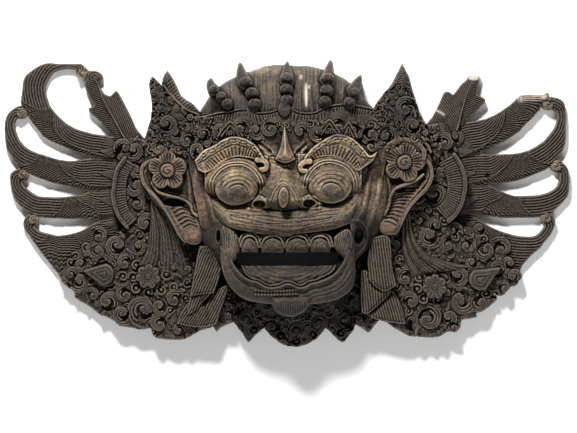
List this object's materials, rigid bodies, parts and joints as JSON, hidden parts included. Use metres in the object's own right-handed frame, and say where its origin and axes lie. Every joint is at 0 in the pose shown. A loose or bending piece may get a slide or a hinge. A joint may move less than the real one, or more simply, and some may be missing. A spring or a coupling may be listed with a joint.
{
  "type": "barong mask",
  "caption": "Carved wooden barong mask lying on its flat back, with a crown, bulging eyes, an open toothed mouth, ear flowers, pleated tassels and two feathered wings, hollow behind the face.",
  "frame": {"origin": "middle of the flat back, on the surface that the mask lies on", "axes": "+X across the mask towards the wing on the right as seen from the front, +Y up the mask to the crown, +Z out of its front towards the nose"},
  "size_m": [0.8018, 0.405, 0.1861],
  "materials": {
    "carved_wood": "dry, worn and dusty carved hardwood, dark in the cuts and paler on the edges"
  },
  "bodies": {
    "root": {"barong_mask": "carved_wood"}
  },
  "joints": []
}
